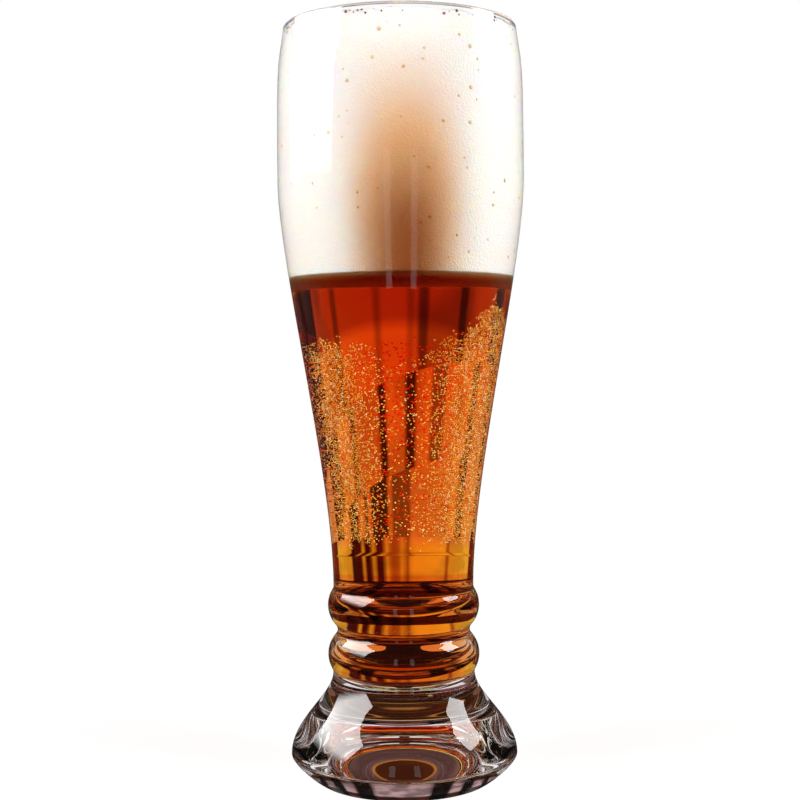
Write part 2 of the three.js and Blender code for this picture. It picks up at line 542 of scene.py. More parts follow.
def strewn(name, surface, sizes):
    """A plain mesh of the bubbles on a surface, which is then taken away."""
    modifier = surface.modifiers.new("bubbles", "NODES")
    modifier.node_group = strewn_bubbles
    for socket in strewn_bubbles.interface.items_tree:
        if socket.name in sizes:
            modifier[socket.identifier] = sizes[socket.name]
    evaluated = surface.evaluated_get(bpy.context.evaluated_depsgraph_get())
    mesh = bpy.data.meshes.new_from_object(evaluated)
    mesh.name = name
    bpy.data.objects.remove(surface)
    piece = bpy.data.objects.new(name, mesh)
    bpy.context.scene.collection.objects.link(piece)
    return piece


def cling_to(mesh, values):
    """Keeps the bubbles' closeness at each point of a mesh."""
    mesh.attributes.new("cling", "FLOAT", "POINT").data.foreach_set("value", values)


def crust_cling(around, height):
    """How close the bubbles are at an angle from the front and a height: patchy, with ragged edges."""
    place = Vector((math.sin(around), -math.cos(around), 0)) * WAIST_RADIUS + Vector((0, 0, height))
    ragged = CRUST_RAGGED * noise.fractal(place / CRUST_CLUMP, *CRUST_FRACTAL)
    degrees = math.degrees(around)
    top = np.interp(degrees, CRUST_BEARINGS, CRUST_TOPS)
    closeness = np.interp(degrees, CRUST_BEARINGS, CRUST_CLOSENESS)
    below_top = (top + ragged - height) / CRUST_EDGE
    above_bottom = (height - CRUST_BOTTOM + ragged) / CRUST_EDGE
    patch = 1 + CRUST_PATCHES * noise.noise(place / CRUST_CLUMP)
    return closeness * min(1, max(0, min(below_top, above_bottom))) * min(1, patch)


def wall_strip(name, low, high, start, end):
    """An open strip of the wall's inside, with the bubbles' closeness at each of its points."""
    outline = hollow_outline(BUBBLE_SEAT)
    heights = np.linspace(low, high, CRUST_ROWS)
    radii = np.interp(heights, outline[:, 1], outline[:, 0])
    angles = np.linspace(start, end, CRUST_COLUMNS)
    points = []
    cling = []
    for height, radius in zip(heights, radii):
        for around in angles:
            points.append((radius * math.sin(around), -radius * math.cos(around), height))
            cling.append(crust_cling(around, height))
    faces = []
    for row in range(CRUST_ROWS - 1):
        for column in range(CRUST_COLUMNS - 1):
            corner = row * CRUST_COLUMNS + column
            faces.append((corner, corner + 1, corner + CRUST_COLUMNS + 1, corner + CRUST_COLUMNS))
    mesh = bpy.data.meshes.new(name)
    mesh.from_pydata(points, [], faces)
    cling_to(mesh, cling)
    strip = bpy.data.objects.new(name, mesh)
    bpy.context.scene.collection.objects.link(strip)
    return strip


def bubble_painted_light():
    """Gas bubbles as opaque skins in cream, gold or tan, each a little different: painted light for the
    beer seen through the clear bubbles and for their glints.
    """
    material, nodes = new_finish("bubble_painted_light")
    place = nodes.add("ShaderNodeTexCoord", {}, {}, "Object")
    mottle = nodes.add("ShaderNodeTexNoise", {}, {"Vector": place, "Scale": BUBBLE_MOTTLE, "Detail": 1.0})
    colour = nodes.add("ShaderNodeValToRGB", {"stops": BUBBLE_PAINTED_LIGHT_STOPS}, {"Fac": mottle})
    surface = nodes.add(
        "ShaderNodeBsdfPrincipled",
        {},
        {
            "Base Color": colour,
            "Roughness": BUBBLE_ROUGHNESS + mottle * MOTTLED_ROUGHNESS,
            "IOR": BUBBLE_IOR,
            "Specular IOR Level": BUBBLE_SHEEN,
        },
    )
    nodes.add("ShaderNodeOutputMaterial", {}, {"Surface": surface})
    return material


strewn_bubbles = bubble_tree()
gas_finish = bubble_painted_light()
for side, start, end in (("left", -math.pi, 0), ("right", 0, math.pi)):
    low, high = CRUST_BOTTOM - CRUST_RAGGED, max(CRUST_TOPS) + CRUST_RAGGED
    crust = wall_strip(side + "_strip", low, high, start, end)
    crust_sizes = {
        "Spacing": BUBBLE_SPACING,
        "Smallest": SMALLEST_BUBBLE,
        "Largest": LARGEST_BUBBLE,
        "Flatness": BUBBLE_FLATNESS,
        "Finish": gas_finish,
        "Seed": BUBBLE_SEED,
    }
    bubbles = strewn(side + "_wall_bubbles", crust, crust_sizes)
    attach(bubbles, "root")
    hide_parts("beer")


# Foam head
# Wheat-beer froth, close and creamy, pressed against the wall all round. It clings just under the
# rim and has sunk a little in the middle, where the top is lumpy.
FOAM_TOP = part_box("foam_head")[1].z
FOAM_DIP = 0.005
FOAM_FLAT_RADIUS = 0.024
FOAM_OVERLAP = 0.0001
FOAM_SINK = 0.0002
LUMP_HEIGHT = 0.0007
LUMP_SIZE = 0.004
LUMP_FRACTAL = (0.8, 2.0, 4)
FOAM_PALE = (0.98, 0.895, 0.865, 1)
FOAM_TAN = (0.97, 0.865, 0.81, 1)
FOAM_COLOURS = [(0.0, FOAM_TAN), (0.7, FOAM_PALE)]
# Noise that drifts through the froth and its fine cells, each with its middle value and its share.
DRIFT_SCALE = 40.0
DRIFT_MIDDLE = 0.5
DRIFT_SHARE = 0.25
CELL_SCALE = 1500.0
CELL_MIDDLE = 0.4
CELL_SHARE = 0.15
CELL_STRENGTH = 0.5
CELL_DEPTH = 0.0004
FOAM_ROUGHNESS = 0.55
CELL_ROUGHNESS = 0.2
FOAM_SCATTER = (0.002, 0.0015, 0.001)


def beer_foam():
    """Froth: fine bubble cells, paler at the top and tan towards the beer."""
    material, nodes = new_finish("beer_foam")
    place = nodes.add("ShaderNodeTexCoord", {}, {}, "Object")
    height = nodes.add("ShaderNodeSeparateXYZ", {}, {"Vector": place}, "Z")
    drift = nodes.add("ShaderNodeTexNoise", {}, {"Vector": place, "Scale": DRIFT_SCALE, "Detail": 4.0})
    cells = nodes.add("ShaderNodeTexVoronoi", {}, {"Vector": place, "Scale": CELL_SCALE}, "Distance")
    level = (height - BEER_LEVEL) * (1 / (FOAM_TOP - BEER_LEVEL))
    rise = level + (drift - DRIFT_MIDDLE) * DRIFT_SHARE
    shade = rise + (cells - CELL_MIDDLE) * CELL_SHARE
    colour = nodes.add("ShaderNodeValToRGB", {"stops": FOAM_COLOURS}, {"Fac": shade})
    bump = {"Height": cells, "Strength": CELL_STRENGTH, "Distance": CELL_DEPTH}
    bumped = nodes.add("ShaderNodeBump", {}, bump)
    surface = nodes.add(
        "ShaderNodeBsdfPrincipled",
        {},
        {
            "Base Color": colour,
            "Roughness": FOAM_ROUGHNESS + cells * CELL_ROUGHNESS,
            "Subsurface Weight": 1.0,
            "Subsurface Radius": FOAM_SCATTER,
            "Subsurface Scale": 1.0,
            "Normal": bumped,
        },
    )
    nodes.add("ShaderNodeOutputMaterial", {}, {"Surface": surface})
    return material


def heave(piece, height):
    """Raises the lumps of the froth's top, and leaves the sides and the bottom as they are."""
    for vertex in piece.data.vertices:
        share = min(1, max(0, (vertex.co.z - height) / FOAM_DIP + 1))
        lump = noise.fractal(vertex.co / LUMP_SIZE, *LUMP_FRACTAL)
        vertex.co.z += LUMP_HEIGHT * lump * share


foam_base = BEER_LEVEL - FOAM_SINK
foam_wall = hollow_outline(-FOAM_OVERLAP)
foam_side = chain(between(foam_wall, foam_base, BEER_LEVEL), between(foam_wall, BEER_LEVEL, FOAM_TOP))
foam_edge = foam_side[-1]
foam_middle = point(FOAM_FLAT_RADIUS, FOAM_TOP - FOAM_DIP)
dish_slope = (foam_edge[0] - foam_middle[0]) / 2
foam = turned(
    "foam_froth",
    chain(
        [point(0, foam_base)],
        foam_side,
        bend(foam_edge, point(-dish_slope, -FOAM_DIP / 2), foam_middle, point(dish_slope, 0)),
        np.linspace(foam_middle, point(0, foam_middle[1]), LONG_STEPS),
    ),
)
heave(foam, foam_middle[1])
foam.data.materials.append(beer_foam())
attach(foam, "root")
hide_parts("foam_head")


# Foam bubbles
# The larger bubbles of the froth: tan ones here and there against the wall and over the top, and
# a broken ring of burst ones, dark inside with painted shade, where the froth meets the glass under the
# rim.
LOOSE_SPACING = 0.003
SMALLEST_LOOSE = 0.0002
LARGEST_LOOSE = 0.0008
LOOSE_FLATNESS = 0.35
LOOSE_SEED = 11
LOOSE_PATCH = FOAM_FLAT_RADIUS / 2
SIDE_CLING = 0.22
PATCH_GAIN = 1.5
TOP_CLING = 0.6
BURST_SPACING = 0.0012
SMALLEST_BURST = 0.0002
LARGEST_BURST = 0.0006
BURST_FLATNESS = 0.4
BURST_SEED = 5
BURST_BAND = 0.0009
BURST_DROP = 0.0005
BURST_CLING = 0.4
BURST_PATCHES = 3
SKIN_MOTTLE = 400.0
SKIN_STOPS = (0.35, 0.65)
SKIN_ROUGHNESS = 0.2
MOTTLED_SKIN = 0.3
LOOSE_TAN = (0.78, 0.50, 0.28, 1)
LOOSE_PALE = (0.93, 0.74, 0.52, 1)
# Painted shade inside the burst bubbles: dark, mottled with a rose tone.
BURST_PAINTED_SHADE = (0.05, 0.012, 0.02, 1)
BURST_SHADE_ROSE = (0.35, 0.08, 0.13, 1)


def loose_bubbles(name, deep, pale):
    """The wet skin of a larger bubble, which shows the beer-coloured hollow behind it; in the burst ones
    its colours are painted shade.
    """
    material, nodes = new_finish(name)
    place = nodes.add("ShaderNodeTexCoord", {}, {}, "Object")
    mottle = nodes.add("ShaderNodeTexNoise", {}, {"Vector": place, "Scale": SKIN_MOTTLE, "Detail": 2.0})
    stops = list(zip(SKIN_STOPS, (deep, pale)))
    colour = nodes.add("ShaderNodeValToRGB", {"stops": stops}, {"Fac": mottle})
    roughness = SKIN_ROUGHNESS + mottle * MOTTLED_SKIN
    surface = nodes.add("ShaderNodeBsdfPrincipled", {}, {"Base Color": colour, "Roughness": roughness})
    nodes.add("ShaderNodeOutputMaterial", {}, {"Surface": surface})
    return material


def froth_copy(name, cling):
    """A copy of the froth's skin, with the bubbles' closeness at each of its points."""
    mesh = foam.data.copy()
    cling_to(mesh, [cling(vertex.co) for vertex in mesh.vertices])
    skin = bpy.data.objects.new(name, mesh)
    bpy.context.scene.collection.objects.link(skin)
    return skin


def loose_cling(place):
    """Patches of loose bubbles on the froth's sides, and a closer scatter over its top."""
    if place.z < BEER_LEVEL + FOAM_DIP:
        return 0
    if place.z > FOAM_TOP - FOAM_DIP - LUMP_SIZE and place.xy.length < foam_edge[0] - FOAM_DIP / 2:
        return TOP_CLING
    patch = 0.5 + noise.noise(place / LOOSE_PATCH)
    return SIDE_CLING * min(1, max(0, patch)) * PATCH_GAIN


def burst_cling(place):
    """A broken ring of burst bubbles, close under the froth's upper edge."""
    off_level = abs(place.z - (FOAM_TOP - BURST_DROP)) > BURST_BAND
    if off_level or place.xy.length < foam_edge[0] - BURST_BAND:
        return 0
    return min(1, max(0, BURST_CLING + BURST_PATCHES * noise.noise(place / FOAM_DIP)))


loose_sizes = {
    "Spacing": LOOSE_SPACING,
    "Smallest": SMALLEST_LOOSE,
    "Largest": LARGEST_LOOSE,
    "Flatness": LOOSE_FLATNESS,
    "Finish": loose_bubbles("loose_bubbles", LOOSE_TAN, LOOSE_PALE),
    "Seed": LOOSE_SEED,
}
loose = strewn("foam_bubbles", froth_copy("froth_skin", loose_cling), loose_sizes)
burst_sizes = {
    "Spacing": BURST_SPACING,
    "Smallest": SMALLEST_BURST,
    "Largest": LARGEST_BURST,
    "Flatness": BURST_FLATNESS,
    "Finish": loose_bubbles("burst_bubbles", BURST_PAINTED_SHADE, BURST_SHADE_ROSE),
    "Seed": BURST_SEED,
}
burst = strewn("burst_bubbles", froth_copy("froth_edge", burst_cling), burst_sizes)
for bubbles in (loose, burst):
    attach(bubbles, "root")
    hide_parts("foam_head")


# Studio
# A plain white floor that runs out of sight, soft lamps on both sides, behind and overhead, and a
# white surround that the glass shows, with dark bars and bright cards that draw its edges.
FLOOR_REACH = 4.0
FLOOR_LEVEL = -0.0003
FLOOR_COLOUR = (0.86, 0.86, 0.86, 1)
NEAR_FLOOR = 0.75
FADE_START = 0.05
FADE_LENGTH = 0.12
WHITE = (1, 1, 1, 1)
FILL = (0.06, 0.03, 0.015, 1)
MIRRORED = 0.02
RAY_KINDS = ("camera", "diffuse", "glossy", "transmission", "shadow")


def ray_kinds(nodes):
    """What a ray is: seen straight or through glass, or else mirrored by a surface."""
    kinds = ("Is Camera Ray", "Is Transmission Ray", "Is Glossy Ray")
    straight, through, glossy = (nodes.add("ShaderNodeLightPath", {}, {}, kind) for kind in kinds)
    return straight + through, glossy * (1 - through)


def white_floor():
    """Matt white that keeps the soft shadow by the glass and fades into the surround away from it."""
    material, nodes = new_finish("white_floor")
    place = nodes.add("ShaderNodeTexCoord", {}, {}, "Object")
    away = nodes.add("ShaderNodeVectorMath", {"operation": "LENGTH"}, {0: place}, "Value")
    fade = nodes.add(
        "ShaderNodeMapRange",
        {"interpolation_type": "SMOOTHSTEP"},
        {
            "Value": away,
            "From Min": FADE_START,
            "From Max": FADE_START + FADE_LENGTH,
            "To Min": NEAR_FLOOR,
            "To Max": 1.0,
        },
    )
    matt = nodes.add("ShaderNodeBsdfDiffuse", {}, {"Color": FLOOR_COLOUR})
    glow = nodes.add("ShaderNodeEmission", {}, {"Color": WHITE, "Strength": 1.0})
    dim = nodes.add("ShaderNodeEmission", {}, {"Color": WHITE, "Strength": MIRRORED})
    seen, mirrored = ray_kinds(nodes)
    bright = nodes.add("ShaderNodeMixShader", {}, {"Fac": seen * fade, 1: matt, 2: glow})
    mixed = nodes.add("ShaderNodeMixShader", {}, {"Fac": mirrored, 1: bright, 2: dim})
    nodes.add("ShaderNodeOutputMaterial", {}, {"Surface": mixed})
    return material


def stage_piece(name, vertices, faces, material, shown_to):
    """A part of the studio, met only by the kinds of ray that it is shown to."""
    mesh = bpy.data.meshes.new(name)
    mesh.from_pydata(vertices, [], faces)
    mesh.materials.append(material)
    piece = bpy.data.objects.new(name, mesh)
    bpy.context.scene.collection.objects.link(piece)
    for kind in RAY_KINDS:
        setattr(piece, "visible_" + kind, kind in shown_to)


corners = [(-FLOOR_REACH, -FLOOR_REACH, FLOOR_LEVEL), (FLOOR_REACH, -FLOOR_REACH, FLOOR_LEVEL)]
corners += [(FLOOR_REACH, FLOOR_REACH, FLOOR_LEVEL), (-FLOOR_REACH, FLOOR_REACH, FLOOR_LEVEL)]
stage_piece("floor", corners, [(0, 1, 2, 3)], white_floor(), RAY_KINDS)

# Screens round the glass, which stand away from it and are seen only through it. Each has bands of
# colour from the bottom up, soft clouds and upright bars that repeat every third of a turn, and grows
# rosier towards the front. A flat brim inside the stem's screen is dark when it is seen from below.
REPEATS = 3
FIRST_BEARING = -48
BAR_EDGE = 0.35
SCREEN_SIDES = 120
FAR_RADIUS = 0.4
SKY_RADIUS = 0.5
NEAR_RADIUS = 0.1
# The far screens meet at two edges that fall to the right, which the beer shows the other way round.
LOW_EDGE = 0.11
MIDDLE_EDGE = 0.172
SLANT = -0.15
BRIM_RADIUS = 0.076
BRIM_HEIGHT = 0.0697
BRIM_THICKNESS = 0.0001
MIDDLE_GLOW = (0.95, 0.85, 0.75, 1)
UPPER_GLOOM = (0.55, 0.32, 0.25, 1)
ROSE = (0.28, 0.05, 0.08, 1)
PALE_ROSE = (0.58, 0.36, 0.36, 1)
AMBER = (0.50, 0.19, 0.03, 1)
RUST = (0.075, 0.014, 0.004, 1)
DIM_RED = (0.07, 0.02, 0.015, 1)
FOOT_SHADE = (0.20, 0.085, 0.075, 1)
FRONT_ROSE = (0.72, 0.40, 0.42, 1)
STEM_YELLOW = (1.1, 1.5, 0.4, 1)
STEM_CREAM = (1.0, 0.9, 0.35, 1)
BROWN = (0.016, 0.006, 0.003, 1)
PALE = (0.95, 0.91, 0.91, 1)
UMBER = (0.16, 0.075, 0.05, 1)
# Bars: from one bearing to another in degrees from the back, and how bright they are.
LOW_BARS = [
    (-47, -38, 0.02),
    (-24, -19, 0.12),
    (-2, 3, 0.35),
    (4.2, 9.5, 0.08),
    (10.8, 12, 0.15),
    (15, 20, 0.03),
    (25, 33, 0.02),
]
MIDDLE_BARS = [
    (-47, -38, 0.02),
    (-25, -21, 0.25),
    (-10.5, -6.6, 0.35),
    (-3, -0.6, 0.08),
    (3.7, 5.6, 0.06),
    (13, 15, 0.25),
    (22, 34, 0.02),
]
UPPER_BARS = [
    (-42, -31, 0.06),
    (-15, -12.5, 0.2),
    (-5, -3, 0.3),
    (-2.2, -0.9, 0.6),
    (4, 5.4, 0.55),
    (15, 17, 0.4),
    (27, 56, 0.05),
]
SKY_BARS = [(-30, -20, 0.2), (-3, 3, 0.2), (14, 18, 0.3), (40, 56, 0.2)]
FOOT_BARS = [
    (-24, -20, 0.02),
    (-15, -11, 0.01),
    (-8, -4, 0.02),
    (5, 9, 0.02),
    (12, 16, 0.01),
    (20, 25, 0.02),
    (43, 71, 0.01),
]
STEM_BARS = [
    (-47, -27, 0.02),
    (-10.2, -8.9, 0.25),
    (-0.9, -0.2, 0.1),
    (0.5, 2.3, 0.25),
    (3, 4.9, 0.01),
    (5.7, 7.7, 0.005),
    (8.5, 13.2, 0.003),
    (26, 71, 0.02),
]
# A bar's red is its level to this power: 1 for grey bars, and less for red ones.
GREY_BARS = 1
RED_BARS = 0.5
# How far back each tint of the screens begins: 0 at the front and 1 at the back.
FRONT_TINTS = [(0.3, FRONT_ROSE), (0.6, WHITE)]
CLOUD_START = 0.4
CLOUD_END = 0.6
# How fine a screen's clouds are, and how dark.
LOW_CLOUDS = (14.0, 0.8)
MIDDLE_CLOUDS = (14.0, 0.7)
UPPER_CLOUDS = (11.0, 0.5)
SKY_CLOUDS = (14.0, 0.5)
FOOT_CLOUDS = (120.0, 0.4)
STEM_CLOUDS = (60.0, 0.7)


def bar_stops(bars, red_power):
    """The stops of a ramp round a third of a turn that is white between the bars."""
    stops = []
    for start, end, level in bars:
        shade = (level**red_power, level, level, 1)
        shades = (WHITE, shade, shade, WHITE)
        places = (start - BAR_EDGE, start + BAR_EDGE, end - BAR_EDGE, end + BAR_EDGE)
        for place, shown in zip(places, shades):
            stops.append(((place - FIRST_BEARING) * REPEATS / 360, shown))
    return stops


def bearing_from_back(across):
    """The bearing of a place round the axis, from its X and Y, in radians."""
    return across.sum("ARCTAN2", across, across.beside("Y"))


def darkened(nodes, colour, shade):
    """One colour multiplied by another."""
    return nodes.add(
        "ShaderNodeMix",
        {"data_type": "RGBA", "blend_type": "MULTIPLY"},
        {"Factor_Float": 1.0, "A_Color": colour, "B_Color": shade},
        "Result_Color",
    )


def clouds(nodes, place, scale, darkest):
    """Soft patches, from a darkest level up to white."""
    mottle = nodes.add("ShaderNodeTexNoise", {}, {"Vector": place, "Scale": scale, "Detail": 2.0})
    span = {"Value": mottle, "From Min": CLOUD_START, "From Max": CLOUD_END, "To Min": darkest}
    return nodes.add("ShaderNodeMapRange", {"interpolation_type": "SMOOTHSTEP"}, span)


def barred_glow(name, radius, bands, bars, cloud_sizes, red_power=GREY_BARS):
    """Bands, bars and clouds, rosier towards the front."""
    low, high = bands[0][0], bands[-1][0]
    material, nodes = new_finish(name)
    place = nodes.add("ShaderNodeTexCoord", {}, {}, "Object")
    across = nodes.add("ShaderNodeSeparateXYZ", {}, {"Vector": place}, "X")
    level = (across.beside("Z") - low) * (1 / (high - low))
    stops = [((height - low) / (high - low), colour) for height, colour in bands]
    colour = nodes.add("ShaderNodeValToRGB", {"stops": stops}, {"Fac": level})
    turns = bearing_from_back(across) * (REPEATS / (2 * math.pi)) - FIRST_BEARING * REPEATS / 360
    share = turns.sum("FRACT", turns, 0)
    upright_bars = nodes.add("ShaderNodeValToRGB", {"stops": bar_stops(bars, red_power)}, {"Fac": share})
    backward = across.beside("Y") * (0.5 / radius) + 0.5
    tint = nodes.add("ShaderNodeValToRGB", {"stops": FRONT_TINTS}, {"Fac": backward})
    barred = darkened(nodes, darkened(nodes, colour, upright_bars), tint)
    shade = darkened(nodes, barred, clouds(nodes, place, *cloud_sizes))
    glow = nodes.add("ShaderNodeEmission", {}, {"Color": shade, "Strength": 1.0})
    nodes.add("ShaderNodeOutputMaterial", {}, {"Surface": glow})
    return material


def circle(radius, height, slant=0):
    """Points round the axis, level or on a slant from left to right."""
    angles = np.linspace(0, 2 * math.pi, SCREEN_SIDES, endpoint=False)
    places = [(radius * math.sin(angle), radius * math.cos(angle)) for angle in angles]
    return [(x, y, height + slant * x) for x, y in places]


def hoop(name, first, second, material):
    """A band round the glass between two circles."""
    faces = []
    for side in range(SCREEN_SIDES):
        beside = (side + 1) % SCREEN_SIDES
        faces.append((side, beside, beside + SCREEN_SIDES, side + SCREEN_SIDES))
    stage_piece(name, first + second, faces, material, ("transmission",))


def barred_screen(name, radius, bands, glow, bottom_slant=0, top_slant=0):
    """A hoop as high as its bands, with a level or slanting edge below and above."""
    bottom = circle(radius, bands[0][0], bottom_slant)
    top = circle(radius, bands[-1][0], top_slant)
    hoop(name, bottom, top, glow)


# Bands: the height of each colour, with a blend from one to the next.
low_bands = [(0, WHITE), (LOW_EDGE, WHITE)]
low_glow = barred_glow("low_screen", FAR_RADIUS, low_bands, LOW_BARS, LOW_CLOUDS)
barred_screen("low_screen", FAR_RADIUS, low_bands, low_glow, 0, SLANT)
middle_bands = [(LOW_EDGE, WHITE), (MIDDLE_EDGE, WHITE)]
middle_glow = barred_glow("middle_screen", FAR_RADIUS, middle_bands, MIDDLE_BARS, MIDDLE_CLOUDS)
barred_screen("middle_screen", FAR_RADIUS, middle_bands, middle_glow, SLANT, SLANT)
upper_bands = [(MIDDLE_EDGE, MIDDLE_GLOW), (0.19, MIDDLE_GLOW), (0.198, WHITE)]
upper_bands += [(0.206, UPPER_GLOOM), (0.32, UPPER_GLOOM)]
upper_glow = barred_glow("upper_screen", FAR_RADIUS, upper_bands, UPPER_BARS, UPPER_CLOUDS)
barred_screen("upper_screen", FAR_RADIUS, upper_bands, upper_glow, SLANT, 0)
sky_bands = [(0.56, ROSE), (0.63, ROSE)]
sky_bands += [(0.64, PALE_ROSE), (0.70, PALE_ROSE), (0.71, ROSE), (1.0, ROSE)]
sky_glow = barred_glow("sky_screen", SKY_RADIUS, sky_bands, SKY_BARS, SKY_CLOUDS)
barred_screen("sky_screen", SKY_RADIUS, sky_bands, sky_glow)
foot_bands = [(0, RUST), (0.008, RUST), (0.010, PALE_ROSE), (0.0195, PALE_ROSE)]
foot_bands += [(0.021, DIM_RED), (0.0275, DIM_RED)]
foot_bands += [(0.029, FOOT_SHADE), (0.0333, FOOT_SHADE), (0.0336, AMBER), (0.0340, AMBER)]
foot_bands += [(0.0343, RUST), (0.040, RUST)]
foot_glow = barred_glow("foot_screen", NEAR_RADIUS, foot_bands, FOOT_BARS, FOOT_CLOUDS)
barred_screen("foot_screen", NEAR_RADIUS, foot_bands, foot_glow)
stem_bands = [(0.040, DIM_RED), (0.0515, DIM_RED), (0.0525, STEM_CREAM), (0.0565, STEM_CREAM)]
stem_bands += [(0.058, STEM_YELLOW), (0.0715, STEM_YELLOW), (0.0765, WHITE)]
stem_glow = barred_glow("stem_screen", NEAR_RADIUS, stem_bands, STEM_BARS, STEM_CLOUDS, RED_BARS)
barred_screen("stem_screen", NEAR_RADIUS, stem_bands, stem_glow)
brim_top = BRIM_HEIGHT + BRIM_THICKNESS
brim_bands = [(BRIM_HEIGHT - BRIM_THICKNESS, DIM_RED), (brim_top, DIM_RED)]
brim_glow = barred_glow("brim", NEAR_RADIUS, brim_bands, STEM_BARS, STEM_CLOUDS)
hoop("brim", circle(BRIM_RADIUS, BRIM_HEIGHT), circle(NEAR_RADIUS, BRIM_HEIGHT), brim_glow)
hoop("brim_top", circle(BRIM_RADIUS, brim_top), circle(NEAR_RADIUS, brim_top), stem_glow)

# A pale mat under the glass, seen only through it. A dark strip with thin amber lines across it runs
# through its middle from front to back, and a brown strip runs along on each side.
MAT_LEVEL = FLOOR_LEVEL / 2
MAT_WANDER = 0.005
WANDER_SCALE = 90.0
WANDER_MIDDLE = 0.5
# How far out from the axis each half width of the strip begins, and each colour along it.
STRIP_HALF_WIDTHS = [(0, 0.009), (0.0252, 0.009), (0.027, 0.0018), (0.0385, 0.0018), (0.0395, 0.016)]
STRIP_COLOURS = [
    (0, BROWN),
    (0.0545, BROWN),
    (0.0555, AMBER),
    (0.0565, BROWN),
    (0.0600, RUST),
    (0.0640, BROWN),
    (0.0695, BROWN),
    (0.0702, AMBER),
    (0.0709, BROWN),
    (0.0755, BROWN),
    (0.0770, RUST),
    (0.0800, BROWN),
    (0.0830, AMBER),
]
# The colours beside the strip, from the middle outwards.
SIDE_COLOURS = [(0, PALE), (0.0090, PALE), (0.0098, UMBER), (0.0232, UMBER), (0.0240, PALE)]


def grey(level):
    return (level, level, level, 1)


def striped_mat():
    """The mat's strips, with lines that wander a little."""
    material, nodes = new_finish("striped_mat")
    place = nodes.add("ShaderNodeTexCoord", {}, {}, "Object")
    across = nodes.add("ShaderNodeSeparateXYZ", {}, {"Vector": place}, "X")
    away = nodes.add("ShaderNodeVectorMath", {"operation": "LENGTH"}, {0: place}, "Value")
    wander = nodes.add("ShaderNodeTexNoise", {}, {"Vector": place, "Scale": WANDER_SCALE, "Detail": 2.0})
    along = (away + (wander - WANDER_MIDDLE) * MAT_WANDER) * (1 / NEAR_RADIUS)
    stops = [(reach / NEAR_RADIUS, colour) for reach, colour in STRIP_COLOURS]
    strip = nodes.add("ShaderNodeValToRGB", {"stops": stops}, {"Fac": along})
    widths = [(reach / NEAR_RADIUS, grey(half / NEAR_RADIUS)) for reach, half in STRIP_HALF_WIDTHS]
    half_width = nodes.add("ShaderNodeValToRGB", {"stops": widths}, {"Fac": away * (1 / NEAR_RADIUS)})
    aside = abs(across)
    stops = [(reach / NEAR_RADIUS, colour) for reach, colour in SIDE_COLOURS]
    sides = nodes.add("ShaderNodeValToRGB", {"stops": stops}, {"Fac": aside * (1 / NEAR_RADIUS)})
    shade = nodes.add(
        "ShaderNodeMix",
        {"data_type": "RGBA"},
        {"Factor_Float": aside > half_width * NEAR_RADIUS, "A_Color": strip, "B_Color": sides},
        "Result_Color",
    )
    glow = nodes.add("ShaderNodeEmission", {}, {"Color": shade, "Strength": 1.0})
    nodes.add("ShaderNodeOutputMaterial", {}, {"Surface": glow})
    return material


mat_edge = circle(NEAR_RADIUS, MAT_LEVEL)
stage_piece("mat", mat_edge, [tuple(range(SCREEN_SIDES))], striped_mat(), ("transmission",))

# Soft lamps. The two in front shine from the sides through an amber gel close to the glass, which
# leaves the flanks of the foam white and turns the middle of its front tan, deepest low down.
GEL_PLACE = -0.047
GEL_HALF_WIDTH = 0.07
GEL_BOTTOM = 0.15
GEL_TOP = 0.27
GEL_MIDDLE = 0.003
GEL_CORE = 0.010
GEL_EDGE = 0.049
GEL_SPREAD = 0.08
GEL_CLEAR_HEIGHT = 0.247
GEL_DEPTH = 34
GEL_TAN = (0.78, 0.43, 0.20, 1)
GEL_BROWN = (0.25, 0.05, 0.003, 1)
SIDE_LAMP_ASIDE = 0.69
SIDE_LAMP_FORWARD = 0.40
SIDE_LAMP_HEIGHT = 0.38
SIDE_LAMP_SIZE = (0.2, 0.5)
SIDE_LAMP_WATTS = 9.5
BACK_LAMP_PLACE = Vector((0, 0.9, 0.32))
BACK_LAMP_SIZE = (0.6, 0.5)
BACK_LAMP_WATTS = 8
TOP_LAMP_PLACE = Vector((0, -0.05, 1.2))
TOP_LAMP_SIZE = (0.5, 0.5)
TOP_LAMP_WATTS = 1
# The point on the axis that lamps and cards face, as a share of the glass's height.
AIM_SHARE = 0.6
AIM = Vector((0, 0, GLASS_HEIGHT * AIM_SHARE))


def soft_lamp(name, place, size, watts):
    """An area lamp that faces the glass and isn't mirrored or seen in it."""
    light = bpy.data.lights.new(name, "AREA")
    light.shape = "RECTANGLE"
    light.size, light.size_y = size
    light.energy = watts
    lamp = bpy.data.objects.new(name, light)
    lamp.location = place
    lamp.rotation_euler = (AIM - place).to_track_quat("-Z", "Y").to_euler()
    lamp.visible_glossy = False
    lamp.visible_transmission = False
    bpy.context.scene.collection.objects.link(lamp)


def amber_gel():
    """Clear at its sides and top, tan towards its middle and brown low down."""
    material, nodes = new_finish("amber_gel")
    place = nodes.add("ShaderNodeTexCoord", {}, {}, "Object")
    across = nodes.add("ShaderNodeSeparateXYZ", {}, {"Vector": place}, "X")
    aside = across - GEL_MIDDLE
    drop = GEL_CLEAR_HEIGHT - across.beside("Z")
    away = abs(aside) - drop * GEL_SPREAD
    cover = nodes.add(
        "ShaderNodeMapRange",
        {"interpolation_type": "SMOOTHSTEP"},
        {"Value": away, "From Min": GEL_EDGE, "From Max": GEL_CORE},
    )
    depth = drop * GEL_DEPTH * cover
    tints = (WHITE, GEL_TAN, GEL_BROWN)
    clear, tan, brown = (nodes.add("ShaderNodeBsdfTransparent", {}, {"Color": tint}) for tint in tints)
    thin = nodes.add("ShaderNodeMixShader", {}, {"Fac": depth, 1: clear, 2: tan})
    gel = nodes.add("ShaderNodeMixShader", {}, {"Fac": depth - 1, 1: thin, 2: brown})
    nodes.add("ShaderNodeOutputMaterial", {}, {"Surface": gel})
    return material


